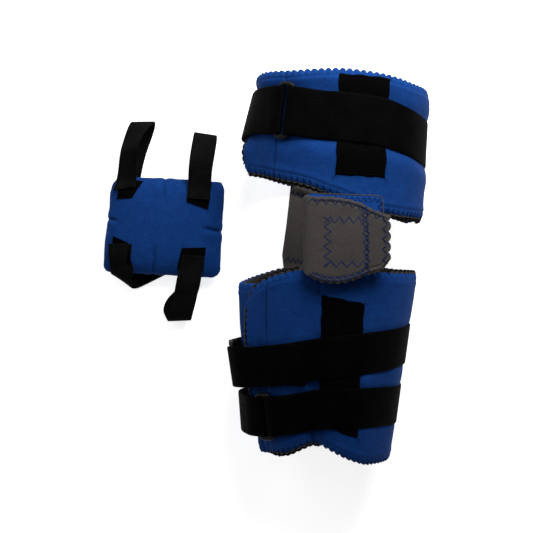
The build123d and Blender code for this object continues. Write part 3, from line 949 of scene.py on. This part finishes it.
FOLD_X = 44.0 * MM
BASE_Z = 139.05 * MM
FLAP_Z = 143.9 * MM
FLAP_LOWEST = 141.4 * MM  # keeps the flap's underside off the base
FOLD_BAND = ((0, 0, 0.1407), (0, 0, 0.1413))  # heights of the band about the flap's fold
BASE_RIGHT, BASE_DEEP = 0.1105, 0.072
END_PIECE_X = 0.0965  # the lapped end piece starts here
base_low = plan_line((38, 3), (58, -4), (88, -2), (98, 3), (107, 8), (111, 10))
base_high = plan_line((38, 70), (46.5, 72), (66, 71), (104, 69.6), (109, 68.5), (111, 66))
flap_low = plan_line(
    (38, 3), (40, 0.5), (43.2, -2.5), (49.8, -5.2), (57, -7.4), (64.1, -8.1), (71, -8), (77.5, -7),
    (87.4, -4), (98.1, 0.2), (108, 3), (112, 8), (117, 14)
)
flap_high = plan_line(
    (38, 69.6), (50, 68.4), (64.1, 68.2), (77.5, 66.4), (90.1, 62.8), (98.1, 58.3), (108, 54.2), (117, 50.4)
)
flap_right = plan_line((0, 109.5), (0.15, 111.3), (0.4, 113.5), (0.8, 115), (1, 115.6))


def flap_top(x, y):
    """Height of the flap's face."""
    soft = lumps(x, y, 0.016, 5) * 0.22 * MM
    swell = 0.9 * MM * np.exp(-(((x - 0.077) / 0.0155) ** 4 + ((y - 0.029) / 0.0175) ** 4))
    swell = swell + 0.45 * MM * bell(x - 0.051, 0.006) + 0.5 * MM * bell(x - 0.104, 0.005)
    return FLAP_Z + 1.72 * MM + soft + swell


def cover_sheet():
    """Blue-faced, grey-lined cover: the base lies blue side up; the flap folds over it, grey side up."""
    v = spaced(0.0, 1.0, 70, 0.05, 8)[None, :]
    base_share = 1 - spaced(0.0, 1.0, 60, 0.05, 8)[:, None]
    right = BASE_RIGHT - 0.003 * (1 - v)
    x = FOLD_X + base_share * (right - FOLD_X)
    y = base_low(x) + v * (base_high(x) - base_low(x))
    near = least(v * BASE_DEEP, (1 - v) * BASE_DEEP, right - x)
    edge = 0.6 + 0.4 * smooth_step(near, 0, 2.5 * MM)
    inner, outer = [xyz(x, y, BASE_Z + 1.45 * MM * edge)], [xyz(x, y, BASE_Z - 1.4 * MM * edge)]
    turn = np.linspace(0, math.pi, 15)[1:-1, None]
    middle, reach = (BASE_Z + FLAP_Z) / 2, (FLAP_Z - BASE_Z) / 2
    mix = (1 - np.cos(turn)) / 2
    low = base_low(FOLD_X) + mix * (flap_low(FOLD_X) - base_low(FOLD_X))
    high = base_high(FOLD_X) + mix * (flap_high(FOLD_X) - base_high(FOLD_X))
    tuck = 3.2 * MM * np.sin(turn) ** 2
    for face, grow in ((inner, -1.45 * MM), (outer, 1.7 * MM)):
        x = FOLD_X - (reach + grow) * 1.3 * np.sin(turn)
        z = middle - (reach + grow) * np.cos(turn)
        face.append(xyz(x, low + tuck + v * (high - low - 1.6 * tuck), z))
    share = spaced(0.0, 1.0, 110, 0.05, 10)[:, None]
    edge_x = flap_right(v / MM)
    x = FOLD_X + share * (edge_x - FOLD_X)
    low, high = flap_low(x), flap_high(x)
    y = low + v * (high - low)
    y = y - scallops(x - FOLD_X, 7.2 * MM, 3.1 * MM) * smooth_step(x, 0.0445, 0.049) * at_edge(y - low)
    y = y + scallops(x, 8.5 * MM, 0.9 * MM) * smooth_step(x, 0.043, 0.05) * at_edge(high - y, 4 * MM)
    x = x + scallops(y, 9.4 * MM, 2.8 * MM) * at_edge(edge_x - x, 6 * MM)
    near = least(y - low, high - y, edge_x - x)
    edge = smooth_step(near, -MM, 3 * MM)
    lapped = 0.8 * MM * smooth_step(x - END_PIECE_X + MM + 0.02 * (0.05 - y), -0.6 * MM, 0.6 * MM)
    roll = 0.55 * MM * bell(near - 1.7 * MM, 1.2 * MM) - 0.65 * MM * bell(near - 4.0 * MM, 1.1 * MM)
    upper = flap_top(x, y) - 1.0 * MM * (1 - edge) - lapped + roll * smooth_step(x, 0.044, 0.05)
    lower = np.minimum(upper - 1.2 * MM, FLAP_Z - 1.7 * MM + 0.8 * MM * (1 - edge))
    inner.append(xyz(x, y, np.maximum(lower, FLAP_LOWEST)))
    outer.append(xyz(x, y, upper))
    inner, outer = np.concatenate(inner), np.concatenate(outer)
    places = xyz(travelled(outer[:, 35])[:, None], outer[..., 1], 0)
    made = shell("hinge_cover", outer, inner, places, [GREY, BLUE])
    nodes = ("cover_base", "cover_flap", "cover_flap_end")
    fit(made, ("calf", "flap", *FOLD_BAND), "grey_lining", *nodes, fill=0.2)


def on_flap(plan):
    """A seam's run on the flap; the lapped end piece lies lower."""
    lift = 0.12 * MM - 0.8 * MM * (plan[:, 0] > END_PIECE_X)
    return np.column_stack([plan, flap_top(plan[:, 0], plan[:, 1]) + lift])


def at_height(plan, z):
    return np.column_stack([plan, np.full(len(plan), z)])


def along_x(line, start, end, inset):
    x = np.linspace(start, end, 60) * MM
    return np.column_stack([x, line(x) + inset * MM])


def cover_seams():
    """Zigzag seams of the flap: round its edges, round the hook patch and down the lapped seam."""
    side_y = np.linspace(8, 49, 40) * MM
    side_x = flap_right((side_y - 0.005) / 0.048) - 3.6 * MM
    seam = np.array([(0.0925, 0.0605), (0.0935, 0.048), (0.0945, 0.03), (0.0945, 0.008), (0.093, -0.001)])
    runs = [
        zigzag(along_x(flap_high, 43, 112, -3.6), 5.4, 7.9),
        zigzag(along_x(flap_low, 44, 92, 2.6), 4.6, 6.4),
        zigzag(along_x(flap_low, 47, 93, 3.0), 4.6, 6.4),
        zigzag(np.column_stack([side_x, side_y]), 5.4, 9.4),
        zigzag([(0.060, 0.0505), (0.060, 0.0065)], 6.4, 8.6),
        zigzag([(0.058, 0.0480), (0.092, 0.0475)], 6.0, 8.4),
        zigzag([(0.058, 0.0085), (0.092, 0.008)], 6.0, 9.6),
        zigzag(seam, 5.4, 8.0),
        zigzag(seam + [0.0012, -0.004], 5.4, 8.0),
    ]
    sew("cover_zigzag_seams", [on_flap(run) for run in runs], 0.33, "flap")
    runs = [
        zigzag(along_x(base_high, 60, 108, -3.4), 4.6, 5.2),
        zigzag([(0.1080, 0.066), (0.1078, 0.012)], 4.2, 6.0),
    ]
    sew("cover_base_zigzag", [at_height(run, BASE_Z + 1.55 * MM) for run in runs], 0.34, "calf")
    rim = np.vstack([along_x(base_high, 45, 110, 0.15), [(0.1108, 0.064), (0.1105, 0.03), (0.1085, 0.0105)]])
    rim[:, 1] += 0.35 * MM * np.abs(np.sin(rim[:, 0] / (1.9 * MM)))
    run = smooth_path(at_height(rim, BASE_Z + 0.9 * MM))
    sew("cover_base_edging", [run], 0.5, "calf", "grey_lining", THREAD_BROWN, 7)


cover_sheet()
cover_seams()

BRIDGE_RIGHT = 0.129
bridge_left = plan_line((-12, 25.5), (4, 24), (18.5, 22.4), (52, 27.1), (82, 30.5), (110, 33))
bridge_end = plan_line((20, 94), (40, 90), (75, 77), (110, 63), (131, 56))


def bridge_faces(x, y):
    """Height of the sleeve's upper and lower face, lifted where it goes inside a cuff."""
    stop = bridge_end(x)
    inside = (1 - smooth_step(y, -1 * MM, 9 * MM)) + smooth_step(y, stop - 9 * MM, stop + MM)
    near = np.minimum(x - bridge_left(y), BRIDGE_RIGHT - x)
    middle = 3.3 * MM + 5.8 * MM * inside + lumps(x, y, 0.018, 4) * 0.35 * MM
    middle = middle + 2.0 * MM * bell(near, 9 * MM) * (1 - inside)
    half = 2.3 * MM * (0.35 + 0.65 * np.sqrt(np.clip(near / (3.5 * MM), 0, 1)))
    return middle + half, np.maximum(middle - half, 0.4 * MM)


def bridge():
    """The soft sleeve at the back of the knee, lapped inside both cuffs."""
    share = spaced(0.0, 1.0, 90, 0.03, 7)[:, None]
    v = np.linspace(0, 1, 120)[None, :]
    y = -8 * MM + v * 100 * MM + 0 * share
    for _ in range(3):
        left = bridge_left(y)
        x = left + share * (BRIDGE_RIGHT - left)
        y = -8 * MM + v * (bridge_end(x) + 17 * MM)
    upper, lower = [xyz(x, y, z) for z in bridge_faces(x, y)]
    # The sleeve's grey is painted lighter than the lining's own colour. This is painted light for its shaded
    # place between the cuffs.
    made = shell("knee_bridge", upper, lower, xyz(x, y, 0), [BRIDGE_GREY_PAINTED_LIGHT])
    bent = ("calf", "thigh", (0, 0.016, 0), (0, 0.056, 0))
    fit(made, bent, "grey_lining", "bridge_calf_half", "bridge_thigh_half", fill=0.2)
    along = np.linspace(31, 126, 40) * MM
    for body, run in (
        ("calf", [(0.0262, 0.0145), (0.045, 0.0105), (0.126, 0.0105)]),
        ("thigh", np.column_stack([along, bridge_end(along) - 6 * MM])),
    ):
        line = zigzag(run, 5.0, 5.6)
        top, _ = bridge_faces(line[:, 0], line[:, 1])
        sew(f"bridge_{body}_seam", [np.column_stack([line, top + 0.15 * MM])], 0.4, body)


bridge()


# ---------------------------------------------------------------- pad
PAD_CENTRE = np.array([-102.6, 48.5]) * MM
PAD_HALF = (62.5 * MM, 53.2 * MM)
PAD_TILT = math.radians(-3.0)
PAD_TURN = np.array([[math.cos(PAD_TILT), math.sin(PAD_TILT)], [-math.sin(PAD_TILT), math.cos(PAD_TILT)]])
PAD_LOW, PAD_HIGH = 3.2 * MM, 31.5 * MM
PAD_TALL = PAD_HIGH - PAD_LOW
VOXEL, MOST_MOVED = 4.5 * MM, 7 * MM
SIM_STEPS = 20


def pad_start():
    """A plump rounded block, a little smaller than the stuffed pad."""
    u = np.linspace(-1, 1, 61)
    uu, vv = np.meshgrid(u, u, indexing="ij")
    reach = (np.abs(uu) ** 11 + np.abs(vv) ** 11) ** (1 / 11)
    rise = 0.5 * PAD_TALL * (1 - np.clip(reach, 0, 1) ** 3.6) ** 0.62
    round_corner = np.maximum(1, reach / np.maximum(np.maximum(np.abs(uu), np.abs(vv)), 1e-6))
    x = uu * PAD_HALF[0] / round_corner - 3.8 * MM * np.clip(-uu, 0, 1) ** 2 * smooth_step(-vv, -0.5, 0.5)
    y = vv * PAD_HALF[1] / round_corner
    mid = 0.42 * PAD_TALL + PAD_LOW
    plan = np.stack([x, y], -1) @ PAD_TURN + PAD_CENTRE
    upper = xyz(plan[..., 0], plan[..., 1], mid + rise * 1.16 + 0.4 * MM)
    lower = xyz(plan[..., 0], plan[..., 1], mid - rise * 0.84 - 0.4 * MM)
    return shell("knee_pad", upper, lower, xyz(x, y, 0), [BLUE])


def read(items, name):
    """A mesh's vectors, as rows of floats."""
    values = np.empty(len(items) * 3, np.float32)
    items.foreach_get(name, values)
    return values.reshape(-1, 3).astype(float)


def write(items, name, values):
    items.foreach_set(name, values.astype(np.float32).ravel())


def applied(piece):
    """Turns a piece's modifiers into its mesh."""
    graph = bpy.context.evaluated_depsgraph_get()
    made = bpy.data.meshes.new_from_object(piece.evaluated_get(graph))
    piece.modifiers.clear()
    piece.data = made
    return made


def stuff(piece, voxel, cap):
    """Remeshes a piece evenly and blows it up as sewn cloth; no point moves further than cap."""
    remesh = piece.modifiers.new("remesh", "REMESH")
    remesh.mode = "VOXEL"
    remesh.voxel_size = voxel
    applied(piece)
    start = read(piece.data.vertices, "co")
    cloth = piece.modifiers.new("cloth", "CLOTH")
    cloth.settings.use_pressure = True
    cloth.settings.uniform_pressure_force = 4.0
    cloth.settings.effector_weights.gravity = 0.0
    scene = bpy.context.scene
    for step in range(1, SIM_STEPS + 1):
        scene.frame_set(step)
    applied(piece)
    moved = read(piece.data.vertices, "co") - start
    size = np.linalg.norm(moved, axis=1)[:, None]
    moved *= np.minimum(1, cap / np.maximum(size, 1e-9))
    write(piece.data.vertices, "co", start + moved)
    scene.frame_set(1)


PAD_DARTS = (  # outer end, inner end, in millimetres
    ((-102.4, 102), (-104.5, 77)), ((-167, 56.8), (-151, 54.6)), ((-41, 42.4), (-65, 46.8)),
    ((-115.6, -4), (-112.6, 28)),
)


def pad_body():
    """The stuffed pad: simulated, then darted and seamed."""
    pad = pad_start()
    stuff(pad, VOXEL, MOST_MOVED)
    subdivide = pad.modifiers.new("subdivide", "SUBSURF")
    subdivide.levels = subdivide.render_levels = 2
    mesh = applied(pad)
    points, normals = read(mesh.vertices, "co"), read(mesh.vertex_normals, "vector")
    plan, height = points[:, :2], points[:, 2]
    sink = 0.0
    for outer, inner in PAD_DARTS:
        a, b = np.array(outer) * MM, np.array(inner) * MM
        along = (plan - a) @ (b - a) / ((b - a) @ (b - a))
        held = np.clip(along, 0, 1)
        gap = np.linalg.norm(plan - a - held[:, None] * (b - a), axis=1) + 0.24 * MM * np.sin(held * 5)
        cut = (0.8 + 1.8 * smooth_step(normals[:, 2], 0.3, 0.8)) * MM * bell(gap, 1.5 * MM)
        faded = smooth_step(height, 0.008, 0.016) * (1 - smooth_step(along, 0.55, 1.05))
        sink = sink + faded * (cut - 0.7 * MM * bell(gap - 6 * MM, 4 * MM))
    on_side = smooth_step(1 - np.abs(normals[:, 2]), 0.55, 0.9)
    sink = sink + on_side * 0.9 * MM * bell(height - 0.4 * PAD_TALL - PAD_LOW, 1.1 * MM)
    sink = sink - lumps(points[:, 0], points[:, 1], 0.02, 11) * 0.45 * MM * smooth_step(height, 0.01, 0.02)
    points = points - normals * sink[:, None]
    u, v = (PAD_TURN @ (points[:, :2] - PAD_CENTRE).T) / np.array(PAD_HALF)[:, None]
    corner = smooth_step(np.abs(u), 0.72, 1.0) * smooth_step(np.abs(v), 0.68, 1.0) * ((u > 0) | (v < 0))
    points[:, :2] += 4.5 * MM * corner[:, None] * np.column_stack([np.sign(u), np.sign(v)])
    points[:, 2] = np.maximum(points[:, 2], 2.6 * MM)
    write(mesh.vertices, "co", points)
    if "weave" not in mesh.attributes:
        mesh.attributes.new("weave", "FLOAT_VECTOR", "POINT")
    write(mesh.attributes["weave"].data, "vector", points)
    mesh.polygons.foreach_set("use_smooth", [True] * len(mesh.polygons))
    mesh.polygons.foreach_set("material_index", [0] * len(mesh.polygons))
    mesh.materials.clear()
    mesh.materials.append(BLUE)
    mesh.update()
    fit(pad, "pad", "blue_laminate", "pad_cover", "pad_filling", fill=0.85)
    return pad


def height_finder(piece):
    """A function that finds a piece's upper face under plan points."""
    mesh = piece.data
    tree = BVHTree.FromPolygons([v.co for v in mesh.vertices], [p.vertices for p in mesh.polygons])

    def find(x, y):
        flat = np.empty(x.size)
        for index, (a, b) in enumerate(zip(x.ravel(), y.ravel())):
            hit = tree.ray_cast(Vector((a, b, 0.1)), Vector((0, 0, -1)))[0]
            flat[index] = hit.z if hit else 0.012
        return flat.reshape(x.shape)

    return find


def on_pad(name, find, corners, thickness, lift, node):
    """A loop patch draped on the pad's top: corners in plan, in millimetres."""
    shares = spaced(0, 1, 26, 0.05, 3)
    _, _, x, y = between(corners, shares, shares)
    z = find(x, y) + lift
    upper = xyz(x, y, z + thickness + lumps(x, y, 0.0022, 8) * 0.1 * MM)
    made = shell(name, upper, xyz(x, y, z - 0.6 * MM), xyz(x, y, 0), [LOOP_PILE])
    fit(made, "pad", "hook_and_loop", node)


class Ribbon:
    """A flat strap through points with their own width directions."""

    def __init__(self, points, acrosses):
        points, acrosses = np.array(points, float) * MM, np.array(acrosses, float) * 0.02
        path = smooth_path(np.column_stack([points, acrosses]), MM)
        self.path = path[:, :3]
        self.across = unit(path[:, 3:])
        self.normal = unit(np.cross(self.across, np.gradient(self.path, axis=0)))
        self.far = travelled(self.path)

    def place(self, distance, across, height):
        distance, across, height = np.broadcast_arrays(distance, across, height)
        parts = (self.path, self.across, self.normal)
        middle, side, up = [resample(part, distance, self.far) for part in parts]
        return middle + across[..., None] * side + height[..., None] * up


PAD_WIDTH = 24.5 * MM
PAD_WEB = 1.5 * MM
# Corner: loop patch, strap path with widths' directions, length of the sewn hook end
PAD_CORNERS = {
    "top_left": (
        ((-153, 77.5), (-136, 78), (-125, 96.5), (-148, 99)),
        ((-144.2, 88, 0), (-142.5, 100, 0), (-138.4, 126, 38), (-135, 140, 34), (-127.5, 156, 29),
         (-125.4, 161, 20), (-127, 157, 9), (-131, 146, 4), (-138, 126, 3.2), (-143, 105, 2.4),
         (-146, 86, 1.2)),
        ((0.9, 0.1, 0.05), (0.85, 0.08, 0.35), (0.8, 0.12, 0.55), (0.85, 0.1, 0.5), (1, 0, 0.1), (1, 0.0, 0),
         (1, 0.05, -0.1), (1, 0.1, -0.1), (1, 0.2, 0), (1, 0.2, 0), (1, 0.2, 0)), 40
    ),
    "top_right": (
        ((-78.5, 73.9), (-56, 66), (-52.4, 95), (-75.4, 97)),
        ((-65.8, 76.5, 0), (-65, 90, 0), (-63.4, 110, 38), (-61, 132, 33), (-59.3, 145, 27),
         (-59.3, 147.5, 20), (-60, 144, 9), (-62.5, 132, 4), (-66, 112, 3), (-69, 92, 2), (-70, 82, 1.2)),
        ((1, -0.08, 0), (1, -0.08, 0), (1, -0.1, 0), (1, -0.16, 0), (1, -0.17, 0), (1, -0.17, 0),
         (1, -0.17, 0), (1, -0.15, 0), (1, -0.1, 0), (1, -0.1, 0), (1, -0.1, 0)), 34
    ),
    "bottom_left": (
        ((-159, 11), (-137, 9), (-140, 31), (-156.6, 38.4)),
        ((-148.3, 30, 0), (-147.8, 18, 0), (-147.6, 6, 27), (-149.5, -4, 21), (-150.5, -9, 14),
         (-148, -9.5, 7), (-140, -7, 3.5), (-128, -1, 2.2), (-108, 9, 1.2)),
        ((-1, 0, 0.1), (-1, 0, 0.2), (-1, 0.05, 0.1), (-0.95, 0.35, 0), (-0.85, 0.52, 0), (-0.7, 0.7, 0),
         (-0.5, 0.85, 0), (-0.45, 0.89, 0), (-0.45, 0.89, 0)), 22
    ),
    "bottom_right": (
        ((-89, 3), (-61.5, 0), (-58.3, 26), (-83.3, 25.4)),
        ((-71.6, 17.5, 0), (-73, 8, 0), (-77, -10, 32), (-80.5, -27, 27), (-85.5, -45, 22), (-87.8, -53, 14),
         (-90.5, -50, 6), (-95.5, -42, 3.8), (-92, -35, 3), (-84, -28, 2.8), (-79, -14, 2.4), (-77, 2, 1.2)),
        ((-1, 0.05, 0), (-1, 0.06, 0), (-1, 0.12, 0), (-1, 0.15, 0), (-1, 0.03, 0), (-1, 0, 0),
         (-1, -0.1, 0.1), (-1, 0, 0), (-0.8, 0.6, 0), (-0.75, 0.65, 0), (-0.95, 0.3, 0), (-1, 0.1, 0)), 40
    ),
}

def pad_strap(corner, find):
    """One corner's loop patch, hook tab, webbing loop and box stitches."""
    patch, points, acrosses, sewn = PAD_CORNERS[corner]
    on_pad(f"pad_loop_patch_{corner}", find, patch, 1.1 * MM, 0.05 * MM, f"pad_patch_{corner}")
    route = []
    for x, y, z in points:
        over = find(np.array([x * MM]), np.array([y * MM]))[0] / MM + 3.2
        route.append((x, y, z if z else over))
    ribbon = Ribbon(route, acrosses)
    path = [(0, 0), (ribbon.far[-1], 0)]
    web = flat_web(f"pad_strap_web_{corner}", ribbon.place, path, PAD_WIDTH, PAD_WEB, PAD_BLACK)
    fit(web, "pad", "black_webbing", f"pad_strap_{corner}")
    tab = flat_web(
        f"pad_hook_tab_{corner}", lambda a, b, c: ribbon.place(a, b, c - 1.25 * MM),
        [(0.8 * MM, 0), (min(sewn, 30) * MM, 0)], PAD_WIDTH - 1.2 * MM, MM
    )
    fit(tab, "pad", "hook_and_loop", f"pad_tab_{corner}")
    side = PAD_WIDTH / 2 - 2.4 * MM
    box = np.array([(2.5, -1), (sewn, -1), (sewn, 1), (2.5, 1), (2.5, -1)]) * (MM, side)
    box = resample(box, np.linspace(0, travelled(box)[-1], 160))
    run = ribbon.place(box[:, 0], box[:, 1], PAD_WEB / 2 + 0.12 * MM)
    runs = dashes(run, 1.8 * MM, 1.2 * MM, 0.25 * MM)
    sew(f"pad_box_stitch_{corner}", runs, 0.36, "pad", "black_webbing", SEAM_BLACK)


find_height = height_finder(pad_body())
for corner_name in PAD_CORNERS:
    pad_strap(corner_name, find_height)


# ---------------------------------------------------------------- stage
LIGHTS = (((0.16, 0.43, 0.44), 0.34, 4.3), ((-0.7, 0.5, 0.8), 0.7, 2.3))  # place, size, power
LIT = (0, 0, 0.05)


def stage():
    """The floor, the lights and the camera."""
    scene = bpy.context.scene
    bpy.ops.mesh.primitive_plane_add(size=6)
    floor = bpy.context.object
    floor.name = "floor"
    floor.data.materials.append(Look("pale_floor", None).done(
        Base_Color=(0.93, 0.93, 0.93, 1), Roughness=0.8, Emission_Color=(1, 1, 1, 1), Emission_Strength=0.8
    ))
    scene.world = bpy.data.worlds.new("studio")
    scene.world.use_nodes = True
    colour, strength = scene.world.node_tree.nodes["Background"].inputs[:2]
    colour.default_value, strength.default_value = (1, 1, 1, 1), 0.1
    for place, size, power in LIGHTS:
        light = bpy.data.lights.new("softbox", "AREA")
        light.size = size
        light.energy = power
        made = bpy.data.objects.new("softbox", light)
        made.location = place
        made.visible_camera = False
        made.rotation_euler = (Vector(LIT) - Vector(place)).to_track_quat("-Z", "Y").to_euler()
        scene.collection.objects.link(made)
    camera = bpy.data.objects.new("camera", bpy.data.cameras.new("camera"))
    camera.data.lens = LENS
    camera.location = (*CAMERA_OVER, CAMERA_HEIGHT)
    scene.collection.objects.link(camera)
    scene.camera = camera
    scene.view_settings.view_transform = "Standard"


for node, material in (
    ("knee_rivet", STEEL), ("thigh_upright", STEEL), ("calf_upright", STEEL), ("cover_hook_patch", HOOKS)
):
    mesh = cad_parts[node].data
    mesh.materials.clear()
    mesh.materials.append(material)
stage()
